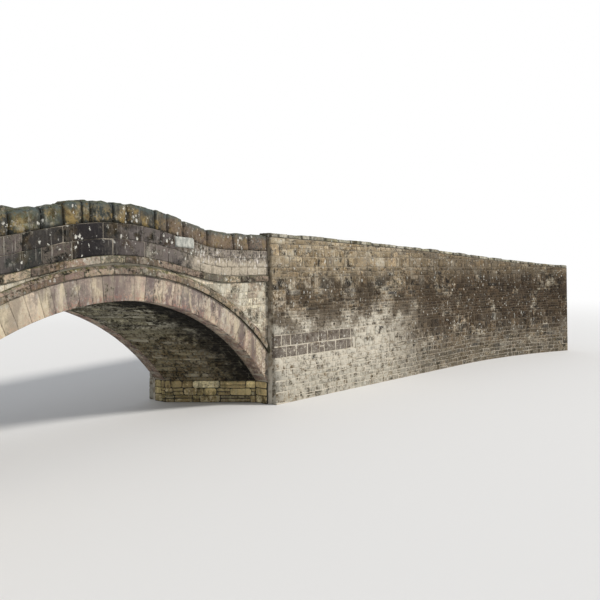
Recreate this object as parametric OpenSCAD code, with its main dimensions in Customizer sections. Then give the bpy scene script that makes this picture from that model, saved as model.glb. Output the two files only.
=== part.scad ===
// Packhorse bridge: one low segmental stone arch with a humped parapet
// and battered approach walls. Millimetres, Z up. Z = 0 is the water level,
// X runs along the bridge and Y across it. The near face lies at Y = 0.

/* [Arch] */
// Half of the clear width between the abutments
half_span = 4550; // [4300:10:4700]
// Height of the springing over the water
spring_z = 547; // [500:10:600]
// Rise of the underside of the arch from the springing to its crown
rise = 2203; // [2100:10:2250]
// How far an abutment's face stands clear of the approach wall beside it
reveal = 50; // [30:5:100]
// Depth of the dressed arch stones on each face
ring_depth = 500; // [420:10:520]
// Thickness of the rubble barrel between the two rings
barrel_depth = 300; // [250:10:350]
// Height of the hood course that runs over the ring
hood_h = 170; // [120:5:175]
// How far the hood course stands out from the face
hood_out = 60; // [30:5:90]
// Height of the hood course's weathered slope, from its front to its top
weather = 60; // [30:5:100]
// How far the ring stands out from the spandrel
ring_out = 12; // [5:1:20]
// Where a corner is missing from the near ring's lower edge, left of the crown
notch_at = 880; // [600:10:1500]
// Width of that notch at the edge
notch_w = 130; // [80:5:180]
// Height of the notch
notch_h = 90; // [50:5:120]

/* [Bridge] */
// Width of the bridge from face to face
width = 2600; // [2500:50:3200]
// How far the far face is set off along X, because the arch is skew
skew = -1250; // [-1300:50:-1000]
// Thickness of the spandrels, rings and parapets
wall_t = 350; // [300:10:400]
// Depth of the abutment blocks behind the end of each face
abut_depth = 750; // [600:10:900]

/* [Parapet] */
// Road height beside the hump, at the top of the string course
road_z = 3170; // [3150:10:3200]
// How far the crown of the hump rises over that
hump_h = 430; // [415:5:480]
// Half of the length of the hump
hump_half = 3100; // [2800:50:3400]
// Height of the string course under the parapet
string_h = 140; // [100:5:145]
// How far the string course stands out
string_out = 45; // [25:5:70]
// Height of one of the two parapet courses
course_h = 300; // [260:10:320]
// Height of the upright coping stones
coping_h = 430; // [350:10:460]
// How far the coping stands out from the parapet on each side
coping_out = 15; // [5:1:25]

/* [Approach walls] */
// Turn of the approach walls away from the faces, in degrees
flare = 9.3; // [7:0.1:11]
// Length of the straight right-hand approach walls
right_len = 9000; // [8000:100:10000]
// Length of the left-hand approach walls
left_len = 6000; // [5000:100:7000]
// Radius of the curved ends of the right-hand walls
bend_r = 18000; // [16000:500:20000]
// Turn of the curved ends, in degrees
bend = 21; // [15:1:24]
// How far the walls stand out from the spandrel at the top
wing_out = 80; // [60:5:100]
// How much further they stand out at the foot
batter = 180; // [120:10:220]
// Depth of the approach walls behind the face line
wing_back = 320; // [300:10:340]
// Height of the top of the approach walls where they begin
wing_top = 4230; // [4200:10:4260]
// Thickness of the rough flat coping on the approach walls
flat_coping_h = 120; // [90:5:140]
// How far the flat coping stands out at the front
lip = 40; // [20:5:60]
// How far the flat coping stands out at the back
back_lip = 20; // [10:5:40]
// How far it stands out over the free end of a wall
end_lip = 30; // [0:5:50]

/* [Hidden] */
crown_z = spring_z + rise;
arch_r = (half_span * half_span + rise * rise) / (2 * rise);
arch_z = crown_z - arch_r;
// Where the approach walls begin, from the middle of each face
wing_x = half_span + reveal;
ring_r = arch_r + ring_depth;
hood_r = ring_r + hood_h;
barrel_r = arch_r + barrel_depth;
hood_z = arch_z + sqrt(ring_r * ring_r - wing_x * wing_x) + 5;
shear = skew / (width - 2 * wall_t);
// Angle of the joints that part the arch into three
third = asin(half_span / arch_r) / 3;
abut_back = wing_x + abut_depth;
parapet_h = 2 * course_h;
// Extra length of an approach wall before its square cut at the spandrel
spare = wing_back * sin(flare) + batter;
step_x = 155;
steps = ceil(wing_x / step_x);
// Length of the curved wall ends, and the height of the wall top where they begin and end
bend_len = bend_r * bend * PI / 180;
lip_turn = end_lip / bend_r * 180 / PI;
bend_chord = 2 * bend_r * sin(bend / 2);
bend_z0 = top_z(right_len);
bend_z1 = top_z(right_len + bend_len);
bend_slope = atan((bend_z0 - bend_z1) / bend_chord);
// Lengths that reach past the whole bridge, for cuts
past = wing_x + right_len + bend_len + bend_r;
tall = 2 * wing_top;
$fn = 360;

// Height of the road at x, with the hump over the arch
function hump(x) = abs(x) < hump_half ? pow(1 - pow(x / hump_half, 2), 2) : 0;
function deck_z(x) = road_z + hump_h * hump(x);
// Height of the approach wall's top at a distance d along it
function top_z(d) = wing_top - 0.0223 * d - 0.00000178 * d * d;
function side_x(i) = i * wing_x / steps;
function deck_line(lift) = [for (i = [-steps : steps]) [side_x(i), deck_z(side_x(i)) + lift]];
function deck_back(lift) = [for (i = [steps : -1 : -steps]) [side_x(i), deck_z(side_x(i)) + lift]];
// The road beyond the arch falls with the tops of the walls
function road_line(len, side) = [for (i = [0 : 8])
  [side * (wing_x + i * len / 8), road_z - (top_z(0) - top_z(i * len / 8))]];
function wing_line(len, lift) = [for (i = [0 : 8]) [i * len / 8, top_z(i * len / 8) + lift]];
function wing_line_back(len, lift) = [for (i = [8 : -1 : 0]) [i * len / 8, top_z(i * len / 8) + lift]];

// Stands a profile drawn in X and Z up, from y0 to y1
module upright(y0, y1) {
  translate([0, y1, 0])
    rotate([90, 0, 0])
      linear_extrude(y1 - y0)
        children();
}

// Sets the whole bridge with the middle of its plan over the origin
module placed() {
  translate([-mid_x, -width / 2, 0])
    children();
}

// Moves a piece of the near side to the far side of the bridge
module far_side() {
  translate([skew, width, 0])
    mirror([0, 1, 0])
      children();
}

// Turns a right-hand piece into a left-hand one
module left_side() {
  mirror([1, 0, 0])
    children();
}

// The skew shift from the back of one ring to the back of the other
module sheared() {
  multmatrix([[1, shear, 0, -shear * wall_t], [0, 1, 0, 0], [0, 0, 1, 0], [0, 0, 0, 1]])
    children();
}

// The left, middle or right part of the arch, cut along radial joints
module sector(part) {
  reach = 2 * ring_r;
  from = part < 0 ? -85 : part == 0 ? -third : third;
  to = part < 0 ? -third : part == 0 ? third : 85;
  translate([0, arch_z])
    polygon([
      [0, 0],
      [reach * sin(from), reach * cos(from)],
      [reach * sin((from + to) / 2) * 1.3, reach * cos((from + to) / 2) * 1.3],
      [reach * sin(to), reach * cos(to)]
    ]);
}

module ring_profile(r0, r1, z0, part) {
  intersection() {
    translate([0, arch_z])
      difference() {
        circle(r1);
        circle(r0);
      }
    sector(part);
    translate([-wing_x, z0])
      square([2 * wing_x, tall]);
  }
}

module deck_band(lift0, lift1) {
  polygon(concat(deck_line(lift0), deck_back(lift1)));
}

module ring(part) {
  upright(-ring_out, wall_t)
    ring_profile(arch_r, ring_r, spring_z, part);
}

// The middle of the near ring, with the corner that has broken away
module notched_crown() {
  difference() {
    ring(0);
    upright(-2 * ring_out, notch_w)
      translate([0, arch_z])
        rotate(notch_at / arch_r * 180 / PI)
          polygon([
            [-notch_w / 2, arch_r - notch_h / 2],
            [-notch_w / 6, arch_r + notch_h],
            [notch_w / 6, arch_r + notch_h],
            [notch_w / 2, arch_r - notch_h / 2]
          ]);
  }
}

// A hood course turned about the arch's axis, with its upper front edge sloped
module hood(part) {
  intersection() {
    translate([0, 0, arch_z])
      rotate([90, 0, 0])
        rotate_extrude()
          polygon([
            [ring_r, hood_out],
            [hood_r - weather, hood_out],
            [hood_r, ring_out],
            [hood_r, -wall_t],
            [ring_r, -wall_t]
          ]);
    upright(-2 * hood_out, 2 * wall_t)
      intersection() {
        sector(part);
        translate([-wing_x, hood_z])
          square([2 * wing_x, tall]);
      }
  }
}

// The right half of a spandrel, between the hood course and the string course
module spandrel() {
  upright(0, wall_t)
    intersection() {
      difference() {
        deck_band(-tall, -string_h);
        translate([0, arch_z])
          circle(hood_r);
      }
      translate([0, hood_z - hood_h])
        square([wing_x, tall]);
    }
}

module string_course() {
  upright(-string_out, wall_t)
    deck_band(-string_h, 0);
}

module parapet() {
  upright(0, wall_t)
    deck_band(0, parapet_h);
}

module parapet_coping() {
  upright(-coping_out, wall_t + coping_out)
    deck_band(parapet_h, parapet_h + coping_h);
}

// Cross-section of an approach wall, with its battered front
module wing_profile() {
  polygon([
    [-wing_out - batter, 0],
    [-wing_out, wing_top],
    [wing_back, wing_top],
    [wing_back, 0]
  ]);
}

// Places a piece drawn along X at the start of the near right-hand approach wall
module at_wing() {
  translate([wing_x, 0, 0])
    rotate([0, 0, -flare])
      children();
}

// A straight approach wall, cut square where it meets the spandrel
module approach_wall(len) {
  difference() {
    at_wing()
      intersection() {
        translate([-spare, 0, 0])
          rotate([90, 0, 90])
            linear_extrude(len + spare)
              wing_profile();
        upright(-past, past)
          polygon(concat([[-spare, 0], [-spare, top_z(0) - flat_coping_h]],
            wing_line(len, -flat_coping_h), [[len, 0]]));
      }
    translate([0, -past / 2, -tall])
      cube([wing_x, past, 3 * tall]);
  }
}

module approach_coping(len, over = 0) {
  difference() {
    at_wing()
      upright(-wing_out - lip, wing_back + back_lip)
        polygon(concat([[-spare, top_z(0)], [-spare, top_z(0) - flat_coping_h]],
          wing_line(len + over, -flat_coping_h), wing_line_back(len + over, 0)));
    translate([0, -past / 2, -tall])
      cube([wing_x, past, 3 * tall]);
  }
}

// Draws around the centre of a curved wall end
module at_bend() {
  at_wing()
    translate([right_len, -bend_r, 0])
      children();
}

// Everything under the sloping top of a curved wall end, lowered by lift
module under_slope(lift) {
  at_wing()
    translate([right_len, 0, bend_z0 - lift])
      rotate([0, 0, -bend / 2])
        rotate([0, bend_slope, 0])
          translate([-bend_len, -bend_len, -tall])
            cube([3 * bend_len, 2 * bend_len, tall]);
}

module curved_wall() {
  intersection() {
    at_bend()
      rotate([0, 0, 90 - bend])
        rotate_extrude(angle = bend)
          translate([bend_r, 0])
            wing_profile();
    under_slope(flat_coping_h);
  }
}

module curved_coping() {
  difference() {
    intersection() {
      at_bend()
        rotate([0, 0, 90 - bend - lip_turn])
          rotate_extrude(angle = bend + lip_turn)
            translate([bend_r - wing_out - lip, bend_z1 / 2])
              square([wing_out + wing_back + lip + back_lip, bend_z0]);
      under_slope(0);
    }
    under_slope(flat_coping_h);
  }
}

// Plan of an abutment block, from the face of one ring to the other
module abutment() {
  linear_extrude(spring_z)
    polygon([
      [half_span, 0],
      [wing_x, 0],
      [wing_x, wall_t],
      [abut_back, wall_t],
      [abut_back + skew, width - wall_t],
      [wing_x + skew, width - wall_t],
      [wing_x + skew, width],
      [half_span + skew, width],
      [half_span + skew, width - wall_t],
      [half_span, wall_t]
    ]);
}

module abutment_other() {
  linear_extrude(spring_z)
    polygon([
      [-half_span, 0],
      [-wing_x, 0],
      [-wing_x, wall_t],
      [-abut_back, wall_t],
      [-abut_back + skew, width - wall_t],
      [-wing_x + skew, width - wall_t],
      [-wing_x + skew, width],
      [-half_span + skew, width],
      [-half_span + skew, width - wall_t],
      [-half_span, wall_t]
    ]);
}

// Where the backs of the approach walls run, in plan
wing_start = [wing_x, wing_back / cos(flare)];
function wing_point(d) = [
  wing_x + d * cos(flare) + wing_back * sin(flare),
  -d * sin(flare) + wing_back * cos(flare)
];
bend_centre = [
  wing_x + right_len * cos(flare) - bend_r * sin(flare),
  -right_len * sin(flare) - bend_r * cos(flare)
];
bend_end = [
  bend_centre[0] + (bend_r + wing_back) * sin(flare + bend),
  bend_centre[1] + (bend_r + wing_back) * cos(flare + bend)
];
function across(p) = [p[0] + skew, width - p[1]];
// Middle of the bridge's length, from the crown of the near face
right_end = bend_centre[0] + (bend_r + wing_back + 20) * sin(flare + bend);
left_end = skew - wing_x - left_len * cos(flare) - (wing_back + back_lip) * sin(flare);
mid_x = (right_end + left_end) / 2;

module road_fill_right() {
  intersection() {
    difference() {
      linear_extrude(tall)
        polygon([
          wing_start,
          wing_point(right_len),
          [wing_point(right_len)[0] + bend_len / 12, bend_end[1]],
          bend_end,
          across(bend_end),
          across([wing_point(right_len)[0] + bend_len / 12, bend_end[1]]),
          across(wing_point(right_len)),
          across(wing_start),
          [wing_x + skew, width - wall_t],
          [abut_back + skew, width - wall_t],
          [abut_back, wall_t],
          [wing_x, wall_t]
        ]);
      translate([bend_centre[0], bend_centre[1], -10])
        cylinder(r = bend_r + wing_back, h = tall + 20);
      translate([bend_centre[0] + skew, width - bend_centre[1], -10])
        cylinder(r = bend_r + wing_back, h = tall + 20);
    }
    upright(-past, past)
      polygon(concat([[0, 0], [0, road_z]], road_line(right_len + 2 * bend_len, 1),
        [[wing_x + right_len + 2 * bend_len, 0]]));
  }
}

module road_fill_left() {
  intersection() {
    linear_extrude(tall)
      polygon([
        [-wing_start[0], wing_start[1]],
        [-wing_point(left_len)[0], wing_point(left_len)[1]],
        [-wing_point(left_len)[0] + skew, width - wing_point(left_len)[1]],
        [-wing_start[0] + skew, width - wing_start[1]],
        [-wing_x + skew, width - wall_t],
        [-abut_back + skew, width - wall_t],
        [-abut_back, wall_t],
        [-wing_x, wall_t]
      ]);
    upright(-past, past)
      polygon(concat([[0, 0], [0, road_z]], road_line(2 * left_len, -1),
        [[-wing_x - 2 * left_len, 0]]));
  }
}

module road_fill_crown() {
  sheared()
    upright(wall_t, width - wall_t)
      difference() {
        polygon(concat([[-abut_back, spring_z]], [[-abut_back, road_z]], deck_line(0),
          [[abut_back, road_z]], [[abut_back, spring_z]]));
        translate([0, arch_z])
          circle(barrel_r);
      }
}

module arch_barrel(part) {
  sheared()
    upright(wall_t, width - wall_t)
      intersection() {
        sector(part);
        translate([0, arch_z])
          difference() {
            circle(barrel_r);
            circle(arch_r);
          }
        translate([-barrel_r, spring_z])
          square([2 * barrel_r, tall]);
      }
}

// A pale bare block, let into the outer face of the near parapet and the foot of its coping
block_x = 1470;
block_l = 540;
block_h = 225;
block_deep = 140;
block_tilt = 2.5;
module block_shape(gap, out = coping_out) {
  translate([block_x, 0, deck_z(block_x) + course_h + 65])
    rotate([0, block_tilt, 0])
      translate([-gap, -out, -gap])
        cube([block_l + 2 * gap, block_deep + out, block_h + 2 * gap]);
}

// Takes the pale block's pocket out of a piece
module pocketed() {
  difference() {
    children();
    block_shape(3, 2 * coping_out);
  }
}

stone = [0.62, 0.56, 0.46];
dark = [0.30, 0.30, 0.26];
rubble = [0.52, 0.48, 0.42];

placed() color(rubble) arch_barrel(-1);  // arch_barrel_left
placed() color(rubble) arch_barrel(0);  // arch_barrel_crown
placed() color(rubble) arch_barrel(1);  // arch_barrel_right
placed() color(stone) ring(-1);  // arch_ring_near_left
placed() color(stone) notched_crown();  // arch_ring_near_crown
placed() color(stone) ring(1);  // arch_ring_near_right
placed() color(stone) far_side() ring(-1);  // arch_ring_far_left
placed() color(stone) far_side() ring(0);  // arch_ring_far_crown
placed() color(stone) far_side() ring(1);  // arch_ring_far_right
placed() color(dark) hood(-1);  // hood_near_left
placed() color(dark) hood(0);  // hood_near_crown
placed() color(dark) hood(1);  // hood_near_right
placed() color(dark) far_side() hood(-1);  // hood_far_left
placed() color(dark) far_side() hood(0);  // hood_far_crown
placed() color(dark) far_side() hood(1);  // hood_far_right
placed() color(rubble) left_side() spandrel();  // spandrel_near_left
placed() color(rubble) spandrel();  // spandrel_near_right
placed() color(rubble) far_side() left_side() spandrel();  // spandrel_far_left
placed() color(rubble) far_side() spandrel();  // spandrel_far_right
placed() color(dark) string_course();  // string_course_near
placed() color(dark) far_side() string_course();  // string_course_far
placed() color(dark) pocketed() parapet();  // parapet_near
placed() color(dark) far_side() parapet();  // parapet_far
placed() color(stone) pocketed() parapet_coping();  // parapet_coping_near
placed() color(stone) far_side() parapet_coping();  // parapet_coping_far
placed() color([0.8, 0.8, 0.76]) block_shape(0);  // pale_block
placed() color(rubble) abutment_other();  // abutment_left
placed() color(rubble) abutment();  // abutment_right
placed() color(rubble) approach_wall(right_len);  // approach_wall_near_right
placed() color(rubble) far_side() approach_wall(right_len);  // approach_wall_far_right
placed() color(rubble) left_side() approach_wall(left_len);  // approach_wall_near_left
placed() color(rubble) far_side() left_side() approach_wall(left_len);  // approach_wall_far_left
placed() color(rubble) curved_wall();  // curved_wall_near
placed() color(rubble) far_side() curved_wall();  // curved_wall_far
placed() color(stone) approach_coping(right_len);  // approach_coping_near_right
placed() color(stone) far_side() approach_coping(right_len);  // approach_coping_far_right
placed() color(stone) left_side() approach_coping(left_len, end_lip);  // approach_coping_near_left
placed() color(stone) far_side() left_side() approach_coping(left_len, end_lip);  // approach_coping_far_left
placed() color(stone) curved_coping();  // curved_coping_near
placed() color(stone) far_side() curved_coping();  // curved_coping_far
placed() color(rubble) road_fill_crown();
placed() color(rubble) road_fill_right();
placed() color(rubble) road_fill_left();
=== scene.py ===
from functools import partialmethod
from itertools import pairwise
from math import asin, cos, hypot, radians, sin, sqrt, tan
from random import Random

import bmesh
import bpy
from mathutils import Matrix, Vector, noise


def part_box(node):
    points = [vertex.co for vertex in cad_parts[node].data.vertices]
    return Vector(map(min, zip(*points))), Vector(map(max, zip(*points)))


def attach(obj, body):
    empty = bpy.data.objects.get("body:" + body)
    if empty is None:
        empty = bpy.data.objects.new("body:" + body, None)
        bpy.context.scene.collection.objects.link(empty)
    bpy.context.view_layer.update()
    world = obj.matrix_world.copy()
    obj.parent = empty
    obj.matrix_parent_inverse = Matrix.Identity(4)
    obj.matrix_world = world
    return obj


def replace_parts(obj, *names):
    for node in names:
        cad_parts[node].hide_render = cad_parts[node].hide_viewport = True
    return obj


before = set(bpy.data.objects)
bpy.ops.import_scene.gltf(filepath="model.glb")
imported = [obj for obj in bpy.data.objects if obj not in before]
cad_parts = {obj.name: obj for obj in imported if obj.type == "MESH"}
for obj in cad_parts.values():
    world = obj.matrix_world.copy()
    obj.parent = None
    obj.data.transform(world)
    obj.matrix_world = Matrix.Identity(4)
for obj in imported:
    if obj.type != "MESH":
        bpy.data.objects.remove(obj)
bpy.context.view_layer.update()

parapet_low, parapet_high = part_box("parapet_near")
CROWN_X = (parapet_low[0] + parapet_high[0]) / 2  # the middle of the near face
FACE_Y = parapet_low[1]  # the plane of the near face
FOCAL = 643 / 600  # focal length as a share of the picture's width
EYE = (-7.98, -9.53, 3.397)  # the camera from the middle of the near face, at the floor
TILT, TURN = 87.0, -55.72  # 90 looks level, and 0 looks straight along Y

scene = bpy.context.scene
eye = bpy.data.cameras.new("low_camera")
eye.sensor_width = 36.0
eye.lens = eye.sensor_width * FOCAL
eye.clip_end = 400.0
camera = bpy.data.objects.new("low_camera", eye)
scene.collection.objects.link(camera)
camera.location = (CROWN_X + EYE[0], FACE_Y + EYE[1], EYE[2])
camera.rotation_euler = (radians(TILT), 0.0, radians(TURN))
scene.camera = camera
scene.view_settings.view_transform = "Standard"


# Studio
# A plain pale floor at the foot of the bridge, a broad low sun from the right of the camera
# and an even white surround.
FLOOR_SIZE, FLOOR_DROP = 150.0, 0.004  # the floor lies a little under the stones' feet
FADE = (18.0, 60.0)  # how far out the floor turns white
WHITE = (1.0, 1.0, 1.0)


class Wire:
    """A value or colour in a material's nodes, for sums on values."""

    def __init__(self, tree, socket):
        self.tree, self.socket = tree, socket

    def sum(self, operation, *others):
        values = dict(enumerate((self, *others)))
        return add_node(self.tree, "Math", {"operation": operation}, values)

    __add__ = __radd__ = partialmethod(sum, "ADD")
    __mul__ = __rmul__ = partialmethod(sum, "MULTIPLY")
    __sub__ = partialmethod(sum, "SUBTRACT")
    most = partialmethod(sum, "MAXIMUM")
    least = partialmethod(sum, "MINIMUM")

    def __rsub__(self, other):
        return (self * -1) + other

    def step(self, low, high):
        """0 below low, 1 above high and smooth between."""
        values = {"Value": self, "From Min": low, "From Max": high}
        return add_node(self.tree, "MapRange", {"interpolation_type": "SMOOTHSTEP"}, values)


def plug(tree, entry, value):
    """Links a wire to a node's socket, or sets the socket to a value."""
    if isinstance(value, Wire):
        tree.links.new(value.socket, entry)
    else:
        entry.default_value = (*value, 1) if entry.type == "RGBA" else value


def add_node(tree, kind, settings=None, values=None, out=0):
    """Adds a node, with its settings first, and returns one of its outputs."""
    node = tree.nodes.new("ShaderNode" + kind)
    for key, value in (settings or {}).items():
        setattr(node, key, value)
    for key, value in (values or {}).items():
        plug(tree, node.inputs[key], value)
    return Wire(tree, node.outputs[out])


class Finish:
    """A material in the making."""

    def __init__(self, name):
        self.material = bpy.data.materials.new(name)
        self.material.use_nodes = True
        self.tree = self.material.node_tree
        self.shader = self.tree.nodes["Principled BSDF"]

    def node(self, kind, settings=None, values=None, out=0):
        return add_node(self.tree, kind, settings, values, out)

    def parts(self, vector):
        """The three values of a vector."""
        apart = self.node("SeparateXYZ", {}, {"Vector": vector}).socket.node
        return [Wire(self.tree, entry) for entry in apart.outputs]

    def mix(self, share, first, second, way="MIX"):
        """first and second colours mixed by share."""
        settings = {"data_type": "RGBA", "blend_type": way}
        return self.node("Mix", settings, {0: share, 6: first, 7: second}, out=2)

    def coats(self, colour, *layers):
        """colour under thin coats, each a share and a colour, with the last on top."""
        for share, tone in layers:
            colour = self.mix(share, colour, tone)
        return colour

    def ramp(self, place, colours):
        """Evenly spaced colours read at place."""
        wire = self.node("ValToRGB", {}, {"Fac": place})
        stops = wire.socket.node.color_ramp
        while len(stops.elements) < len(colours):
            stops.elements.new(0.5)
        for i, (element, colour) in enumerate(zip(stops.elements, colours)):
            element.position = (i + 0.5) / len(colours)
            element.color = (*colour, 1)
        return wire

    def here(self, scale=(1, 1, 1)):
        """The object's own coordinates, stretched by scale."""
        own = self.node("TexCoord", out=3)
        return self.node("Mapping", {}, {"Vector": own, "Scale": scale})

    def cloud(self, size, detail=4.0, stretch=(1, 1, 1), rough=0.6):
        """Noise whose blotches are about size metres across."""
        values = {"Vector": self.here(stretch), "Scale": 1 / size, "Detail": detail, "Roughness": rough}
        return self.node("TexNoise", {}, values)

    def bump(self, height, strength, distance):
        """A normal from a height."""
        return self.node("Bump", {}, {"Strength": strength, "Distance": distance, "Height": height})

    def set(self, **sockets):
        for key, value in sockets.items():
            plug(self.tree, self.shader.inputs[key.replace("_", " ")], value)
        return self.material


def mesh_piece(name, bm, *materials):
    """An object of its own from a bmesh, which is freed."""
    mesh = bpy.data.meshes.new(name)
    bm.to_mesh(mesh)
    bm.free()
    for material in materials:
        mesh.materials.append(material)
    piece = bpy.data.objects.new(name, mesh)
    scene.collection.objects.link(piece)
    return piece


def background_rays(tree):
    """1 for the rays that should meet the plain white surround."""
    path = tree.nodes.new("ShaderNodeLightPath")
    names = ("Is Camera Ray", "Is Glossy Ray", "Is Transmission Ray")
    seen, mirrored, through = (Wire(tree, path.outputs[name]) for name in names)
    return seen.most(mirrored).most(through)


floor_look = Finish("pale_floor")
floor_look.set(Base_Color=(0.8, 0.8, 0.8), Roughness=0.9)
away = floor_look.node("VectorMath", {"operation": "LENGTH"}, {0: floor_look.here()}, out=1)
white = floor_look.node("Emission", {}, {"Color": WHITE})
lit = Wire(floor_look.tree, floor_look.shader.outputs[0])
share = away.step(*FADE) * background_rays(floor_look.tree)
faded = floor_look.node("MixShader", {}, {0: share, 1: lit, 2: white})
surface = floor_look.tree.nodes["Material Output"].inputs["Surface"]
plug(floor_look.tree, surface, faded)
bm = bmesh.new()
bmesh.ops.create_grid(bm, x_segments=1, y_segments=1, size=FLOOR_SIZE)
bmesh.ops.translate(bm, verts=bm.verts, vec=(0, 0, -FLOOR_DROP))
floor = mesh_piece("floor", bm, floor_look.material)

world = bpy.data.worlds.new("surround")
scene.world = world
world.use_nodes = True
sky = world.node_tree
sky_light = sky.nodes["Background"]
plug(sky, sky_light.inputs["Color"], (0.93, 0.96, 1.0))
plug(sky, sky_light.inputs["Strength"], 0.5)
sky_white = add_node(sky, "Background", {}, {"Color": WHITE, "Strength": 1.0})
skies = {0: background_rays(sky), 1: Wire(sky, sky_light.outputs[0]), 2: sky_white}
sky_mix = add_node(sky, "MixShader", {}, skies)
plug(sky, sky.nodes["World Output"].inputs["Surface"], sky_mix)

sun_data = bpy.data.lights.new("low_sun", "SUN")
sun_data.energy = 2.9
sun_data.angle = radians(9)
sun_data.color = (1.0, 0.96, 0.9)
sun = bpy.data.objects.new("low_sun", sun_data)
scene.collection.objects.link(sun)
sun.rotation_euler = Vector((-0.46, 0.7, -0.55)).to_track_quat("-Z", "Y").to_euler()


# Stone
# All the masonry is one local sandstone, dressed or as rubble. Weather has blackened
# its upper courses, lichen and moss have settled on ledges, and damp stains the foot.
def weathered(
    name, tones, contrast=1.0, warm=0.0, pale=(0.0, 0.0), soot=(0.0, 0.0), streak=0.0, moss=0.0,
    lichen=0.0, damp=0.0, relief=1.0, edges=(0.0, (0, 0, 0)), local=None,
):
    """Weathered stone. tones are the colours of single stones, from one kind to the next.

    pale and soot are a strength and a level that spreads their patches. edges is how much
    of a colour lies round each stone. local changes the colour by the place on the wall,
    u along it and v up it."""
    look = Finish(name)
    own, light, third = look.parts(look.node("Attribute", {"attribute_name": "stone"}, out=1))
    u, _, v = look.parts(look.node("Attribute", {"attribute_name": "spot"}, out=1))
    broad = look.cloud(0.8, 4)
    blot = look.cloud(0.17, 5, rough=0.65)
    mottle = look.cloud(0.055, 4, rough=0.7)
    fine = look.cloud(0.017, 4, rough=0.75)
    colour = look.ramp(own * 0.84 + (mottle - 0.5) * 1.0 + (blot - 0.5) * 0.8 + 0.08, tones)
    patches = (blot - 0.5) * 3.2 + (mottle - 0.5) * 2.0 + (fine - 0.5) * 1.0 + (broad - 0.5) * 1.9
    shade = (0.62 + 0.62 * light + patches * contrast).most(0.14)
    grey = look.node("CombineXYZ", {}, {"X": shade, "Y": shade, "Z": shade})
    colour = look.mix(1.0, colour, grey, "MULTIPLY")
    if warm:
        rust = (look.cloud(0.3, 4) + third * 0.2).step(0.54, 0.74)
        colour = look.mix(rust * warm, colour, (0.36, 0.24, 0.11))
    if pale[0]:
        wash = look.cloud(0.42, 5) + look.cloud(0.07, 4, rough=0.7) * 0.7
        colour = look.mix(wash.step(0.89 - pale[1], 1.03 - pale[1]) * pale[0], colour, (0.6, 0.56, 0.46))
    if soot[0]:
        grime = broad + blot * 0.9 + third * 0.22
        colour = look.mix(grime.step(1.02 - soot[1], 1.25 - soot[1]) * soot[0], colour, (0.028, 0.026, 0.026))
    if streak:
        run = look.cloud(0.06, 4, (1, 1, 0.1))
        colour = look.mix(run.step(0.53, 0.68) * streak, colour, (0.055, 0.052, 0.05))
        chalk = look.cloud(0.05, 3, (1.3, 1.1, 0.09))
        colour = look.mix(chalk.step(0.57, 0.72) * streak * 0.8, colour, (0.6, 0.57, 0.5))
    if edges[0]:
        rim = look.node("Attribute", {"attribute_name": "rim"}, out=2) + (blot - 0.5) * 1.8 + (fine - 0.5)
        colour = look.mix(rim.step(0.3, 0.95) * edges[0], colour, edges[1])
    if local:
        colour = local(look, colour, u, v, blot, mottle)
    up = look.parts(look.node("NewGeometry", out=1))[2]
    if moss:
        grow = look.cloud(0.1, 6, rough=0.7) + up.step(0.2, 0.9) * 0.22
        green = look.mix(mottle.step(0.4, 0.6), (0.045, 0.055, 0.014), (0.15, 0.145, 0.045))
        colour = look.mix(grow.step(0.6, 0.72) * moss, colour, green)
    if damp:
        height = look.parts(look.here())[2]
        wet = (1 - height.step(0.05, 1.1)) * (broad + 0.4).least(1.0) * damp
        colour = look.mix(wet, colour, (0.05, 0.048, 0.028))
    if lichen:
        cells = {"Vector": look.here((1, 1, 0.7)), "Scale": 13.0, "Randomness": 1.0}
        spots = look.node("TexVoronoi", {"feature": "F1"}, cells)
        chance = look.parts(Wire(look.tree, spots.socket.node.outputs["Color"]))[0]
        spots = spots + (mottle - 0.5) * 1.3 + (fine - 0.5) - (chance - 0.62) * 0.45
        some = look.cloud(0.3, 3).step(0.45, 0.58)
        colour = look.mix((1 - spots.step(0.1, 0.26)) * some * lichen, colour, (0.64, 0.63, 0.57))
    height = blot * 0.5 + mottle * 0.5 + fine * 0.3
    return look.set(
        Base_Color=colour,
        Roughness=0.84 + (fine - 0.5) * 0.2,
        Specular_IOR_Level=0.15,
        Normal=look.bump(height, 0.75 * relief, 0.045),
    )


def mortar(name, colour, dark=(0.05, 0.045, 0.038), share=0.6, local=None):
    """Old lime mortar, crumbled and stained. share is how much of it has gone dark."""
    look = Finish(name)
    blot, fine = look.cloud(0.25, 5, rough=0.65), look.cloud(0.014, 5, rough=0.7)
    stain = (blot + (fine - 0.5) * 0.7).step(0.62 - share * 0.25, 0.78 - share * 0.25)
    tone = look.mix(stain, colour, dark)
    if local:
        x, _, z = look.parts(look.here())
        tone = local(look, tone, (x - CROWN_X).sum("ABSOLUTE"), z, blot, fine)
    relief = look.bump(fine, 0.6, 0.012)
    return look.set(Base_Color=tone, Roughness=0.93, Specular_IOR_Level=0.15, Normal=relief)


def dress(node, material):
    """Gives a CAD node its finish."""
    for entry in bpy.data.objects[node].material_slots:
        entry.material = material


def tagged():
    """A new bmesh. Its points carry their stone's random values, their place on the wall and
    a 1 at the stone's edges."""
    bm = bmesh.new()
    layers = bm.verts.layers
    return bm, layers.float_vector.new("stone"), layers.float_vector.new("spot"), layers.float.new("rim")


def cut_corners(corners, rng):
    """A stone's outline with each corner cut off."""
    out = []
    for i, here in enumerate(corners):
        for other in (corners[i - 1], corners[(i + 1) % len(corners)]):
            reach = hypot(other[0] - here[0], other[1] - here[1])
            t = min(0.035, reach * 0.16) * rng.uniform(0.4, 1.4) / max(reach, 1e-6)
            out.append((here[0] + (other[0] - here[0]) * t, here[1] + (other[1] - here[1]) * t))
    return out


noise.seed_set(9)  # without a seed, vector noise differs from run to run


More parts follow.
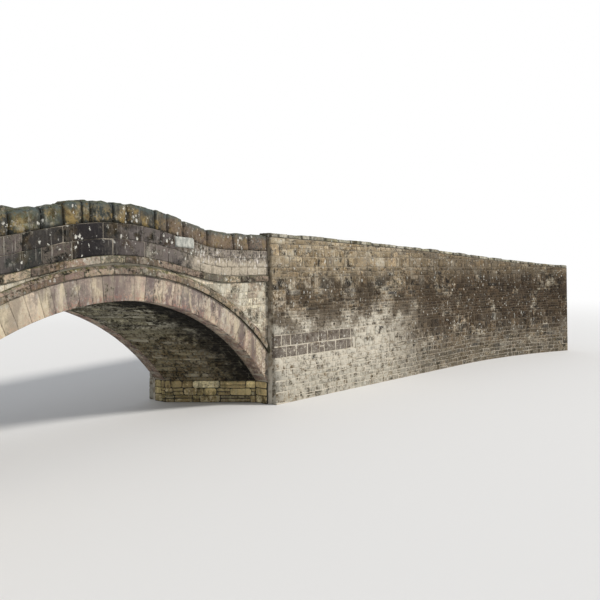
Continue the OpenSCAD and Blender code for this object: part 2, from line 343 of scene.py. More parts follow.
def lay(
    outlines, rng, place,
    proud=0.012, sunk=0.03, edge=0.01, swell=0.006, rough=0.004, soft=True, through=False,
):
    """Stones on outlines of a wall's face, set where place puts them.

    The face is drawn flat: u along it and v up it. Stones stand proud of it and reach to
    the depth sunk behind it. soft ones have cut corners, through ones show on both sides."""
    bm, stone, spot, rim = tagged()
    starts = []
    for corners in outlines:
        shape = cut_corners(corners, rng) if soft else corners
        marks = [rng.random() for _ in range(3)]
        points = [bm.verts.new((u, sunk, v)) for u, v in shape]
        for point in points:
            point[stone] = marks
        starts.append(bm.faces.new(points))
    grown = bmesh.ops.extrude_face_region(bm, geom=starts, use_keep_orig=True)["geom"]
    fronts = [f for f in grown if isinstance(f, bmesh.types.BMFace)]
    for face in fronts:
        out = proud * rng.uniform(0.7, 1.4)
        middle = face.calc_center_median()
        half = max(abs(point.co.x - middle.x) for point in face.verts)
        lean = rng.uniform(-0.35, 0.35) * proud / half
        for point in face.verts:
            point.co.y = -out + (point.co.x - middle.x) * lean
    rims = list({e for f in (fronts + starts if through else fronts) for e in f.edges})
    bmesh.ops.bevel(
        bm, geom=rims, offset=edge, offset_type="OFFSET", segments=1, profile=0.5,
        affect="EDGES", material=-1, clamp_overlap=True,
    )
    bm.normal_update()
    fronts = [f for f in bm.faces if abs(f.normal.y) > 0.9 and all(p.co.y < sunk / 2 for p in f.verts)]
    fronts = [f for f in fronts if f.calc_area() > 0.7 * edge * f.calc_perimeter()]
    if swell:
        bmesh.ops.inset_individual(bm, faces=fronts, thickness=min(0.022, edge * 1.8), depth=0.0)
        for point in bm.verts:
            point[rim] = 1.0
        for face in fronts:
            out = swell * rng.uniform(0.2, 1.2)
            for point in face.verts:
                point.co.y -= out
                point[rim] = 0.0
    for point in bm.verts:
        flat = point.co.copy()
        if flat.y < sunk / 2:
            flat += noise.noise_vector(flat * 9.0 + Vector((3.1, 7.7, 1.3))) * rough
        point[spot] = flat
        point.co = place(flat.x, flat.y, flat.z)
        point.co.z = max(point.co.z, 0.0)
    bmesh.ops.recalc_face_normals(bm, faces=bm.faces)
    return bm


def gathered(name, slot, parts, *materials):
    """One smooth-shaded piece from several bmeshes."""
    whole = tagged()[0]
    for part in parts:
        scratch = bpy.data.meshes.new("scratch")
        part.to_mesh(scratch)
        part.free()
        whole.from_mesh(scratch)
        bpy.data.meshes.remove(scratch)
    for face in whole.faces:
        face.smooth = True
    piece = mesh_piece(name, whole, *materials)
    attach(piece, "root")
    return piece


def masonry(name, slot, material, groups):
    """A piece of many stones. groups are (outlines, place, settings) for lay."""
    parts = [
        lay(outlines, Random(name + str(number)), place, **settings)
        for number, (outlines, place, settings) in enumerate(groups)
    ]
    return gathered(name, slot, parts, material)


parapet_far_low, parapet_far_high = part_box("parapet_far")
WIDTH = parapet_far_high[1] - parapet_low[1]  # from face to face
SKEW = parapet_far_low[0] - parapet_low[0]  # how far the far face is set off


def near(x, y, z):
    """A point of the near side, from the middle of its face."""
    return Vector((CROWN_X + x, FACE_Y + y, z))


def far(x, y, z):
    """The same point on the far side."""
    return Vector((CROWN_X + SKEW + x, FACE_Y + WIDTH - y, z))


SIDES = ((near, "near"), (far, "far"))


# Arch rings
# Each face of the arch is a ring of dressed wedge-shaped blocks of buff and pink
# sandstone with thin joints. Left of the crown one has lost its lower corner.
CROWN_Z = 2.75  # height of the crown's underside
HALF_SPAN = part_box("abutment_right")[0][0] - SKEW - CROWN_X
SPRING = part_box("abutment_right")[1][2]  # height of the springing
HALF = (parapet_high[0] - parapet_low[0]) / 2  # half of the length of the faces
WALL_T = parapet_high[1] - parapet_low[1]  # thickness of the rings and walls over the arch
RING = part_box("arch_ring_near_crown")[1][2] - CROWN_Z
ARCH_R = (HALF_SPAN**2 + (CROWN_Z - SPRING) ** 2) / (2 * (CROWN_Z - SPRING))
ARCH_Z = CROWN_Z - ARCH_R
REACH = ARCH_R * asin(HALF_SPAN / ARCH_R)  # half of the length of the underside
VOUSSOIRS = 43
RING_OUT = 0.012  # how far the ring stands out from the wall above it
NOTCH_JOINT = -0.86  # the joint beside the missing corner, along the underside from the crown


def ring_marks(look, colour, u, v, blot, mottle):
    """Red lower edges, cream towards the left and brown towards the right springing."""
    bands = look.cloud(0.2, 4, (1, 1, 0.22), rough=0.65)
    brown = bands.step(0.5, 0.62) * (1 - v.step(0.3, 0.6) * 0.4) * 0.9
    grey = u.step(-1.3, -0.8) * (1 - u.step(0.1, 0.7)) * blot.step(0.36, 0.56) * 0.6
    red = (1 - v.step(0.02, 0.2)) * mottle.step(0.47, 0.6) * 0.6
    return look.coats(
        colour,
        ((1 - bands.step(0.36, 0.48)) * 0.65, (0.62, 0.53, 0.38)),
        (brown, (0.15, 0.115, 0.11)),
        (grey, (0.2, 0.155, 0.135)),
        (red, (0.33, 0.15, 0.11)),
        ((1 - u.step(-2.6, -0.9)) * 0.45, (0.62, 0.54, 0.38)),
        (u.step(2.6, 4.6) * mottle.step(0.42, 0.6) * 0.75, (0.17, 0.13, 0.09)),
    )


ring_stone = weathered(
    "ring_stone",
    [(0.4, 0.33, 0.26), (0.38, 0.27, 0.22), (0.46, 0.4, 0.31), (0.27, 0.225, 0.2), (0.42, 0.34, 0.27)],
    pale=(0.5, 0.0), soot=(0.4, -0.02), streak=0.5, lichen=0.25, relief=0.6, local=ring_marks,
)
pale_mortar = mortar("pale_mortar", (0.36, 0.32, 0.26))
dark_mortar = mortar("dark_mortar", (0.1, 0.09, 0.06), (0.03, 0.03, 0.02), share=0.8)
PARTS = ("left", "crown", "right")


def on_arch(radius, u, over):
    """Across and up from the crown to a point over a circle of the arch, u along it."""
    return (radius + over) * sin(u / radius), ARCH_Z + (radius + over) * cos(u / radius)


def ring_place(side):
    def place(u, out, v):
        x, z = on_arch(ARCH_R, u, v)
        return side(x, out - RING_OUT, z)

    return place


def square(a, b, low, high):
    """The four corners of a block's face."""
    return [(a, low), (b, low), (b, high), (a, high)]


def ring_outlines(notched):
    """The face of each voussoir, as length along the underside and depth."""
    rng = Random(5)
    step = 2 * REACH / VOUSSOIRS
    joints = [-REACH + step * i + (rng.uniform(-0.1, 0.1) * step) for i in range(VOUSSOIRS + 1)]
    joints[0], joints[-1] = -REACH, REACH
    if notched:
        corner = min(range(len(joints)), key=lambda i: abs(joints[i] - NOTCH_JOINT))
        joints[corner] = NOTCH_JOINT
    out = []
    for a, b in pairwise(joints):
        steep = sin(max(abs(a), abs(b)) / ARCH_R)
        top = min(RING - 0.004, HALF / steep - ARCH_R)
        shape = square(a + 0.003, b - 0.003, 0.0, top)
        if notched and abs(b - NOTCH_JOINT) < 1e-6:
            shape[1:2] = [(b - 0.095, 0.0), (b - 0.045, 0.05), (b - 0.006, 0.1)]
        out.append(shape)
    return out


for side, where in SIDES:
    for part in PARTS:
        dress(f"arch_ring_{where}_{part}", pale_mortar)
    style = dict(proud=0.006, sunk=0.36, edge=0.006, swell=0.003, rough=0.004, soft=False)
    groups = [(ring_outlines(side is near), ring_place(side), style)]
    masonry("voussoirs_" + where, "arch_stone", ring_stone, groups)


# Barrel
# Between the rings the arch is turned in rough rubble, in courses that run from ring to
# ring. The barrel is skew, so they step along as they cross. It is damp and pale green,
# and painted shadow, partly soot, makes it black behind the near ring.
SHEAR = SKEW / (WIDTH - 2 * WALL_T)


def soffit_marks(look, colour, u, v, blot, mottle):
    """Black behind the near ring, a painted shadow that is partly soot, and brown towards the springing."""
    brown = v.step(2.6, 4.4) * mottle.step(0.4, 0.6) * 0.7
    # painted shadow: black behind the near ring, partly soot and partly the shade that falls there
    black = (1 - (u + (blot - 0.5) * 1.4).step(0.2, 1.0)) * 0.96
    return look.coats(colour, (brown, (0.2, 0.14, 0.065)), (black, (0.008, 0.007, 0.006)))


soffit_stone = weathered(
    "soffit_rubble",
    [(0.18, 0.165, 0.11), (0.28, 0.26, 0.18), (0.11, 0.1, 0.07), (0.38, 0.36, 0.28)],
    contrast=1.8, soot=(0.5, 0.0), pale=(0.3, -0.02), moss=0.3, relief=1.3, local=soffit_marks,
)
soffit_mortar = mortar("soffit_mortar", (0.09, 0.085, 0.06), share=0.9)


def rubble(
    rng, u0, u1, low, high,
    course=(0.09, 0.2), block=(0.14, 0.5), joint=0.011, wave=0.022, ends=None, beds=None,
):
    """Outlines of rubble in rough courses between the lines low and high.

    ends gives where a course starts and stops, at its foot and at its top. beds are the
    heights between courses, made at random if they aren't given."""
    us = [u0 + (u1 - u0) * i / 24 for i in range(25)]
    top = max(map(high, us))
    lines = beds or [min(map(low, us))]
    while lines[-1] < top and not beds:
        lines.append(lines[-1] + rng.uniform(*course))
    if not beds and len(lines) > 2 and top - lines[-2] < 0.07:
        del lines[-2]
    shift = rng.uniform(0, 50)

    def line(k, u):
        lift = wave * noise.noise(Vector((u * 1.1 + shift, k * 3.7, 0.5))) if k else 0
        return min(max(lines[k] + lift, low(u)), high(u))

    out, j = [], joint / 2
    for k in range(len(lines) - 1):
        (foot0, foot1), (head0, head1) = ends(lines[k], lines[k + 1]) if ends else ((u0, u1), (u0, u1))
        inner0, inner1 = max(foot0, head0) + 0.07, min(foot1, head1) - 0.07
        joints = []
        u = inner0 + rng.uniform(0, block[0])
        while u < inner1:
            joints.append(u)
            u += rng.uniform(*block) * rng.choice((0.5, 0.8, 1, 1, 1.5))
        feet, heads = pairwise([foot0, *joints, foot1]), pairwise([head0, *joints, head1])
        for i, (foot, head) in enumerate(zip(feet, heads)):
            la, lb = line(k, foot[0]), line(k, foot[1])
            ha, hb = line(k + 1, head[0]), line(k + 1, head[1])
            if max(ha - la, hb - lb) < 0.05:
                continue
            ha, hb = max(ha, la + 0.022), max(hb, lb + 0.022)
            tilt = rng.uniform(-0.014, 0.014)
            lean0, lean1 = (tilt if i else 0), (tilt if i < len(joints) else 0)
            rows = [(la, lb, ha, hb)]
            if min(ha - la, hb - lb) > 0.13 and rng.random() < 0.16:
                t = rng.uniform(0.4, 0.6)
                ma, mb = la + (ha - la) * t, lb + (hb - lb) * t
                rows = [(la, lb, ma, mb), (ma, mb, ha, hb)]
            for la, lb, ha, hb in rows:
                upper = (head[1] - j + lean1, hb - j), (head[0] + j + lean0, ha - j)
                out.append([(foot[0] + j, la + j), (foot[1] - j, lb + j), *upper])
    return out


def soffit_place(u, out, v):
    """u across the barrel from the back of the near ring, v along the underside."""
    x, z = on_arch(ARCH_R, v, out)
    return near(x + SHEAR * u, WALL_T + u, z)


for part in PARTS:
    dress("arch_barrel_" + part, soffit_mortar)
stones = rubble(
    Random(11), 0.0, WIDTH - 2 * WALL_T, lambda u: -REACH, lambda u: REACH,
    (0.08, 0.19), (0.2, 0.6), 0.016,
)
style = dict(proud=0.014, edge=0.018, swell=0.014, rough=0.018)
masonry("soffit_rubble", "soffit_rubble", soffit_stone, [(stones, soffit_place, style)])


# Abutments
# The arch springs from low upright faces of larger squared blocks. They are yellow-green
# with moss, painted light as if sunlit under the arch, and damp has darkened the foot.
# painted light: these tones are lighter than the stone, to stand for sunlight under the arch's shade
abutment_stone = weathered(
    "abutment_block",
    [(0.66, 0.52, 0.25), (0.76, 0.63, 0.33), (0.56, 0.42, 0.2), (0.8, 0.7, 0.44)],
    warm=0.3, soot=(0.4, -0.08), streak=0.4, moss=0.3, damp=0.3,
)


def abutment_place(sign, leg):
    """One of the three straight legs of an abutment's face, from the near ring to the far one."""
    x = sign * HALF_SPAN
    corners = [(x, 0.0), (x, WALL_T), (x + SKEW, WIDTH - WALL_T), (x + SKEW, WIDTH)]
    (x0, y0), (x1, y1) = corners[leg], corners[leg + 1]
    length = hypot(x1 - x0, y1 - y0)
    way_x, way_y = (x1 - x0) / length, (y1 - y0) / length

    def place(u, out, v):
        return near(x0 + way_x * u + sign * way_y * out, y0 + way_y * u - sign * way_x * out, v)

    return place, length


for sign, part in ((-1, "left"), (1, "right")):
    dress("abutment_" + part, soffit_mortar)
    groups = []
    for leg in range(3):
        place, length = abutment_place(sign, leg)
        stones = rubble(
            Random(20 + leg), 0.0, length, lambda u: 0.0, lambda u: SPRING,
            (0.17, 0.195), (0.3, 0.55), 0.012, 0.006,
        )
        groups.append((stones, place, dict(sunk=0.04, edge=0.014, swell=0.008, rough=0.01)))
    masonry("abutment_blocks_" + part, "abutment_stone", abutment_stone, groups)


# Hood courses
# A thin course of long blocks runs over each ring and stands out from the face, so that
# a line of shadow follows the arch. Its ledge slopes and has gathered moss and soil.
hood_stone = weathered(
    "hood_stone",
    [(0.16, 0.125, 0.088), (0.27, 0.2, 0.155), (0.1, 0.1, 0.07), (0.34, 0.27, 0.19), (0.2, 0.14, 0.12)],
    contrast=1.7, warm=0.25, soot=(0.65, 0.02), pale=(0.45, 0.0), streak=0.4, moss=0.7, lichen=0.6,
)
HOOD_R = ARCH_R + RING
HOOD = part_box("hood_near_crown")[1][2] - CROWN_Z - RING
HOOD_OUT = FACE_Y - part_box("hood_near_crown")[0][1]
WEATHER = 0.06  # height of its sloped upper edge


def spaced(rng, start, end, block):
    """Joints from start to end, for blocks of random lengths."""
    joints = [start]
    while end - joints[-1] > block[1] + block[0]:
        joints.append(joints[-1] + rng.uniform(*block))
    if end - joints[-1] > block[1]:
        joints.append((joints[-1] + end) / 2)
    return joints + [end]


def course(joints, low, high, gap=0.003):
    """The face of each block between joints, with enough points to follow a curve."""
    out = []
    for a, b in pairwise(joints):
        count = max(1, round((b - a) / 0.22))
        us = [a + gap + (b - a - 2 * gap) * i / count for i in range(count + 1)]
        out.append([(u, low(u)) for u in us] + [(u, high(u)) for u in reversed(us)])
    return out


def hood_place(side):
    def place(u, out, v):
        back = max(0.0, v - HOOD + WEATHER) * 0.8 if out < 0.0 else 0.0
        x, z = on_arch(HOOD_R, u, v)
        return side(x, out - HOOD_OUT + back, z)

    return place


for side, where in SIDES:
    for part in PARTS:
        dress(f"hood_{where}_{part}", dark_mortar)
    end = HOOD_R * asin(HALF / (HOOD_R + HOOD)) - 0.01
    joints = spaced(Random(31), -end, end, (0.35, 0.75))
    fronts = course(joints, lambda u: 0.003, lambda u: HOOD - WEATHER)
    slopes = course(joints, lambda u: HOOD - WEATHER, lambda u: HOOD - 0.002)
    place = hood_place(side)
    style = dict(proud=0.005, sunk=0.2, edge=0.009, swell=0.003, rough=0.006, soft=False)
    smooth = dict(proud=0.006, sunk=0.1, edge=0.004, swell=0.0, rough=0.004, soft=False)
    groups = [(fronts, place, style), (slopes, place, smooth)]
    masonry("hood_blocks_" + where, "hood_stone", hood_stone, groups)


# Spandrels
# The walls over the haunches are rubble under old limewash, which has worn to patches
# of cream and grey. They are flush with the ring below.
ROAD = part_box("road_fill_left")[1][2]  # road height beside the hump
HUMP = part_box("string_course_near")[1][2] - ROAD
HUMP_HALF = 3.1
STRING = 0.14  # height of the string course


def deck(x):
    """Height of the road over the arch, which has a hump."""
    return ROAD + (HUMP * (1 - (x / HUMP_HALF) ** 2) ** 2 if abs(x) < HUMP_HALF else 0.0)


def over_hood(x):
    return ARCH_Z + sqrt((HOOD_R + HOOD + 0.006) ** 2 - x * x)


spandrel_stone = weathered(
    "limewashed_rubble",
    [(0.54, 0.48, 0.35), (0.4, 0.33, 0.25), (0.66, 0.6, 0.45), (0.5, 0.45, 0.35), (0.3, 0.24, 0.18)],
    contrast=1.2, pale=(0.9, 0.08), soot=(0.45, -0.08), streak=0.45, moss=0.2, lichen=0.7,
    edges=(0.4, (0.58, 0.52, 0.4)),
)
limewash_mortar = mortar("limewashed_mortar", (0.46, 0.42, 0.33), share=0.45)


def spandrel_outlines(rng):
    """The right-hand spandrel's level courses, cut by the arch, and the thin end over it."""
    corner = over_hood(HALF) + 0.01
    shoulder = ROAD - STRING - 0.004

    def hood_x(v):
        return sqrt(max((HOOD_R + HOOD + 0.012) ** 2 - (v - ARCH_Z) ** 2, 0.0))

    def ends(foot, head):
        return (hood_x(foot), HALF - 0.004), (hood_x(min(head, shoulder)), HALF - 0.004)

    out = rubble(
        rng, HUMP_HALF, HALF - 0.004, lambda u: corner, lambda u: shoulder,
        (0.12, 0.2), (0.15, 0.42), 0.01, 0.0, ends,
    )
    joints = spaced(rng, 1.3, hood_x(shoulder - 0.15) - 0.02, (0.22, 0.5))
    thin = course(joints, over_hood, lambda u: deck(u) - STRING - 0.004)
    return out + thin


for side, where in SIDES:
    for part in ("left", "right"):
        dress(f"spandrel_{where}_{part}", limewash_mortar)
    right = spandrel_outlines(Random(41))
    left = [[(-u, v) for u, v in shape] for shape in spandrel_outlines(Random(42))]
    style = dict(proud=0.007, edge=0.012, swell=0.006, rough=0.01, soft=False)
    masonry("spandrel_stones_" + where, "limewashed_rubble", spandrel_stone, [(right + left, side, style)])


# String courses
# A thin ledge of long flat stones marks the road's level on each face and rises over
# the hump. Moss and soil have settled along its top.
STRING_OUT = FACE_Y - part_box("string_course_near")[0][1]
ENDS = (-HALF + 0.003, HALF - 0.003)  # where the long courses begin and end


def raised(side, shift=0.0):
    """Sets stones by their height over the road, as the hump carries them."""
    return lambda u, out, v: side(u, out + shift, deck(u) + v)


for side, where in SIDES:
    dress("string_course_" + where, dark_mortar)
    joints = spaced(Random(51), *ENDS, (0.4, 0.8))
    stones = course(joints, lambda u: 0.003 - STRING, lambda u: -0.002)
    style = dict(proud=0.008, sunk=0.2, edge=0.012, swell=0.003, rough=0.008, soft=False)
    groups = [(stones, raised(side, -STRING_OUT), style)]
    masonry("string_blocks_" + where, "dark_ashlar", hood_stone, groups)


# Parapets
# Two courses of squared blocks, one stone thick, follow the hump. Soot and rain have
# turned them nearly black over the arch, and the pointing shows pale between them. Towards
# the right the blocks are smaller and speckled with lichen.
COURSE = 0.3
UPPER = (-1.93, -1.17, -0.33, 0.24, 0.62, 1.06, 1.465)  # joints seen in the near upper course
LOWER = (-1.58, -0.99, -0.11, 0.66, 1.27, 1.78, 2.2)  # and in the lower one
BLOCK = (1.465, 2.018)  # where the pale block interrupts the upper course
BLOCK_AT, BLOCK_RISE = 1.47, 0.065  # its lower left corner, over the joint of the courses
BLOCK_TILT = radians(2.5)


def block_foot(u):
    """Height of the pale block's tilted underside."""
    return deck(BLOCK_AT) + COURSE + BLOCK_RISE - tan(BLOCK_TILT) * (u - BLOCK_AT)


def parapet_marks(look, colour, u, v, blot, mottle):
    """Black left of the crown, lilac grey beside it and a paler end beyond the hump."""
    lilac = (1 - u.step(-2.6, -1.8)).most(u.step(-0.3, 0.4)) * blot.step(0.4, 0.58) * 0.6
    edge = u + (mottle - 0.5) * 0.5
    black = edge.step(-1.02, -0.86) * (1 - edge.step(-0.4, -0.26)) * 0.85
    right = (u + (blot - 0.5) * 1.5).step(1.5, 2.4)
    foot = 1 - (v + (blot - 0.5) * 0.3).step(0.26, 0.4)
    flecks = (look.cloud(0.052, 3, (1, 1, 0.36)) + (look.cloud(0.35, 3) - 0.5) * 0.5).step(0.56, 0.64)
    height = v + (blot - 0.5) * 0.5
    flecks = flecks * height.step(0.14, 0.28) * (1 - height.step(0.46, 0.58))
    return look.coats(
        colour,
        (lilac, (0.17, 0.145, 0.135)),
        (black, (0.016, 0.014, 0.016)),
        (right * (foot * 0.6 + mottle.step(0.4, 0.56) * 0.4), (0.47, 0.41, 0.32)),
        (right * flecks * 0.85, (0.72, 0.67, 0.62)),
    )


ashlar = weathered(
    "dark_ashlar",
    [(0.036, 0.04, 0.034), (0.1, 0.082, 0.062), (0.022, 0.025, 0.027), (0.15, 0.13, 0.105),
     (0.058, 0.04, 0.04)],
    contrast=1.5, warm=0.1, pale=(0.36, -0.03), soot=(0.9, 0.1), streak=0.45, moss=0.2,
    lichen=0.9, local=parapet_marks,
)
parapet_mortar = mortar("parapet_mortar", (0.3, 0.265, 0.215), share=0.4)


def wobbly(height, seed, size=0.01):
    """A nearly straight line along a wall."""
    return lambda u: height + size * noise.noise(Vector((u * 0.9, seed, 0.5)))


def parapet_outlines(rng, seen):
    """Both courses. seen is whether the joints that the photograph shows are used."""
    lines = [lambda u: 0.006, wobbly(COURSE, 1.5), lambda u: 2 * COURSE - 0.005]

    def over_bed(u):
        return lines[1](u) + 0.009

    if seen:
        lower = spaced(rng, ENDS[0], LOWER[0], (0.5, 0.9)) + list(LOWER[1:])
        upper = spaced(rng, ENDS[0], UPPER[0], (0.5, 0.9)) + list(UPPER[1:])
    else:
        lower = spaced(rng, *ENDS, (0.45, 0.9))
        upper = spaced(rng, *ENDS, (0.4, 0.85))
    out = course(lower, lines[0], lines[1]) + course(upper, over_bed, lines[2])
    if not seen:
        return out
    out += course(BLOCK, over_bed, lambda u: block_foot(u) - deck(u) - 0.005)
    thirds = [lines[0], wobbly(0.2, 3.5), wobbly(0.4, 5.5), lines[2]]
    for foot, head in pairwise(thirds):
        joints = spaced(rng, LOWER[-1], ENDS[1], (0.22, 0.5))
        out += course(joints, lambda u, f=foot: f(u) + 0.008, head)
    out += course([BLOCK[1] + 0.004, LOWER[-1]], over_bed, lines[2])
    return out


for side, where in SIDES:
    dress("parapet_" + where, parapet_mortar)
    stones = parapet_outlines(Random(61), side is near)
    style = dict(
        proud=0.012, sunk=WALL_T + 0.012, edge=0.014, swell=0.005, rough=0.011, soft=False, through=True
    )
    masonry("parapet_blocks_" + where, "dark_ashlar", ashlar, [(stones, raised(side), style)])


# Pale block
# One smooth pale block is let into the near parapet under the coping. Rain has greyed
# it in streaks.
block_look = Finish("pale_block")
blot, fine = block_look.cloud(0.07, 5, (1, 1, 0.5), rough=0.7), block_look.cloud(0.012, 5)
grime = (blot + (fine - 0.5) * 0.5).step(0.4, 0.62) * 0.85
tone = block_look.mix(grime, (0.5, 0.5, 0.45), (0.2, 0.21, 0.195))
block_look.set(Base_Color=tone, Roughness=0.8, Normal=block_look.bump(fine, 0.4, 0.01))


def boulder(rng, place, us, ys, vs, wear=0.1, rough=0.012):
    """One worn block between the limits us, ys and vs, with its top edges rounded."""
    bm, stone, spot, rim = tagged()
    bmesh.ops.create_cube(bm, size=2.0)
    bmesh.ops.subdivide_edges(bm, edges=bm.edges[:], cuts=4, use_grid_fill=True)
    marks = [rng.random() for _ in range(3)]
    shift = Vector(rng.uniform(0, 90) for _ in range(3))
    middle = Vector(a + b for a, b in (us, ys, vs)) / 2
    half = Vector(b - a for a, b in (us, ys, vs)) / 2
    for point in bm.verts:
        x, y, z = point.co
        head = max(z, 0.0) ** 3
        end = max(abs(x), abs(y)) ** 5
        flat = Vector((
            x * (1 - wear * (0.25 * abs(y) ** 5 + 0.7 * head)),
            y * (1 - wear * (0.35 * abs(x) ** 5 + head)),
            z - wear * 1.3 * end * head,
        ))
        at = middle + Vector(a * b for a, b in zip(flat, half))
        dent = abs(noise.noise(at * 5.0 + shift)) * 1.4 + abs(noise.noise(at * 14.0 + shift)) * 0.9
        at -= flat.normalized() * dent * rough
        point[stone] = marks
        point[spot] = at
        point[rim] = sorted((abs(x), abs(y), abs(z)))[1] ** 5
        point.co = place(*at)
    bmesh.ops.recalc_face_normals(bm, faces=bm.faces)
    return bm


limits = ((BLOCK[0] + 0.005, BLOCK[1] - 0.005), (-0.013, 0.13), (0.0, 0.222))
stone = boulder(Random(71), lambda u, y, v: near(u, y, block_foot(u) + v), *limits, 0.02, 0.003)
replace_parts(gathered("pale_block_stone", "pale_stone", [stone], block_look.material), "pale_block")


# Parapet coping
# Large rough stones stand upright along the parapets, set close on a bed of mortar.
# They are ochre, olive and blue grey, with worn tops and deep dark joints.
COPING_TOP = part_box("parapet_coping_near")[1][2] - ROAD - HUMP
SEEN_JOINTS = (-2.16, -1.58, -1.16, -0.775, -0.605, -0.1, 0.23, 0.93, 1.25, 1.7, 2.43, 3.3, 3.85)


def coping_marks(look, colour, u, v, blot, mottle):
    """Ochre patches, browner beyond the hump, with blue-grey growth on the tops."""
    patch = look.cloud(0.24, 4, (1, 1, 0.8)) + (mottle - 0.5) * 0.4
    top = (v + (blot - 0.5) * 0.25).step(2 * COURSE + 0.22, 2 * COURSE + 0.36) * 0.8
    return look.coats(
        colour,
        (patch.step(0.5, 0.62) * 0.75, (0.3, 0.215, 0.085)),
        ((1 - patch.step(0.34, 0.44)) * 0.6, (0.045, 0.052, 0.05)),
        (u.step(0.9, 1.5) * mottle.step(0.34, 0.54) * 0.75, (0.175, 0.13, 0.102)),
        (top * mottle.step(0.4, 0.52), (0.085, 0.105, 0.1)),
    )


coping_stone = weathered(
    "coping_stone",
    [(0.18, 0.125, 0.052), (0.1, 0.095, 0.052), (0.075, 0.09, 0.086), (0.21, 0.165, 0.085),
     (0.05, 0.05, 0.045)],
    contrast=1.3, warm=0.2, pale=(0.35, 0.0), soot=(0.7, 0.03), streak=0.4, moss=0.3, lichen=0.9,
    relief=1.2, edges=(0.85, (0.022, 0.024, 0.022)), local=coping_marks,
)
joint_dark = mortar("dark_joint", (0.035, 0.03, 0.024), (0.012, 0.011, 0.01), 0.6)


def bed(place, us, ys, vs, cuts):
    """A long strip of mortar under and between stones."""
    bm = tagged()[0]
    bmesh.ops.create_cube(bm, size=1.0)
    bmesh.ops.translate(bm, verts=bm.verts, vec=(0.5, 0.5, 0.5))
    long_edges = [e for e in bm.edges if abs(e.verts[0].co.x - e.verts[1].co.x) > 0.5]
    bmesh.ops.subdivide_edges(bm, edges=long_edges, cuts=cuts)
    for point in bm.verts:
        point.co = place(*(a + (b - a) * t for (a, b), t in zip((us, ys, vs), point.co)))
    for face in bm.faces:
        face.material_index = 1
    bmesh.ops.recalc_face_normals(bm, faces=bm.faces)
    return bm


for side, where in SIDES:
    rng = Random(74)
    place = raised(side)
    foot, head = 2 * COURSE, COPING_TOP
    joints = spaced(rng, -HALF + 0.004, SEEN_JOINTS[0], (0.35, 0.65)) + list(SEEN_JOINTS[1:])
    joints.append(HALF - 0.004)
    parts = [bed(place, (-HALF + 0.01, HALF - 0.01), (0.03, 0.32), (foot, head - 0.1), 60)]
    for a, b in pairwise(joints):
        limits = ((a + 0.002, b - 0.002), (-0.014, WALL_T + 0.014))
        top = head - rng.uniform(0.002, 0.035)
        base = foot + 0.002
        parts.append(boulder(rng, place, *limits, (base, top), rng.uniform(0.08, 0.15), 0.018))
    cap = gathered("coping_stones_" + where, "coping_stone", parts, coping_stone, joint_dark)
    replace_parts(cap, "parapet_coping_" + where)


# Approach walls
# Long battered walls of rubble in rough courses carry the road down from the arch, flaring
# a little. Larger squared stones make their corners. The right-hand walls end in a curve.
FLARE = radians(9.3)
BEND_R, BEND = 18.0, radians(21)
RIGHT, LEFT = 9.0, 6.0
RIGHT_ALL = RIGHT + BEND_R * BEND
BACK = 0.32  # depth of the walls behind the face line
WING_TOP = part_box("approach_coping_near_right")[1][2]
COVER = 0.12  # thickness of the flat coping
OUT, BATTER = 0.08, 0.18  # how far the walls stand out at the top, and more at the foot
SLOPE, STEEPER = 0.0223, 0.00178  # fall of the approaches at the arch, and its growth
LONG, SHORT = 0.47, 0.3  # lengths of the stones at the corners


def fall(d):
    """How far the road and the wall's top have fallen at d along an approach."""
    return SLOPE * d + STEEPER * d * d


def wall_top(d):
    if d <= RIGHT:
        return WING_TOP - fall(d)
    share = (d - RIGHT) / (RIGHT_ALL - RIGHT)
    return WING_TOP - fall(RIGHT) - (fall(RIGHT_ALL) - fall(RIGHT)) * share


def front(z):
    """How far the battered face lies behind the line of the wall, at height z."""
    return -OUT - BATTER * (1 - z / WING_TOP)


def along(d, out, z, left=False):
    """A point d along a near wall and out behind its line."""
    x, y = d, out
    if d > RIGHT and not left:
        turn = (d - RIGHT) / BEND_R
        x, y = RIGHT + (BEND_R + out) * sin(turn), (BEND_R + out) * cos(turn) - BEND_R
    east = HALF + x * cos(FLARE) + y * sin(FLARE)
    return -east if left else east, y * cos(FLARE) - x * sin(FLARE), z


def beyond(side, left, limit, d, out, z):
    """The same on either side, kept outside the limit beside the arch."""
    x, y, z = along(d, out, z, left)
    return side(min(x, -limit) if left else max(x, limit), y, z)


def wall_place(side, left, inner=False):
    """Sets stones on the outer or the inner face. Outside they stand out less at the foot."""

    def place(u, out, v):
        if inner:
            depth = BACK - out
        else:
            depth = front(v) + out * (min(1.0, max(v, 0.0) / 0.5) if out < 0 else 1)
        return beyond(side, left, HALF - 0.006, u, depth, v)

    return place


BAND = (1.13, 1.7)  # heights of a band of larger squared blocks beside the arch
BAND_END = 3.0  # where it stops, along the wall


def wall_stain(look, colour, u, v):
    """Dark brown stains in the middle of the wall's height, and over most of its right part a dark brown that
    is partly stain and partly painted shade.
    """
    stain = look.cloud(0.8, 5, rough=0.68)
    band = 1 - (v - 2.9).most(v * -1 + 2.0).step(0.0, 0.6)
    # painted shade: the dark over the right part is partly brown stain and partly the shade of trees
    right = u.step(4.0, 7.0) * (1 - (v - 2.6).most(v * -1 + 1.6).step(0.0, 1.1) * 0.5)
    dark = (stain.step(0.39, 0.55) * band * 0.9).most(right * stain.step(0.32, 0.44))
    return look.mix(dark, colour, (0.215, 0.18, 0.15), "MULTIPLY")


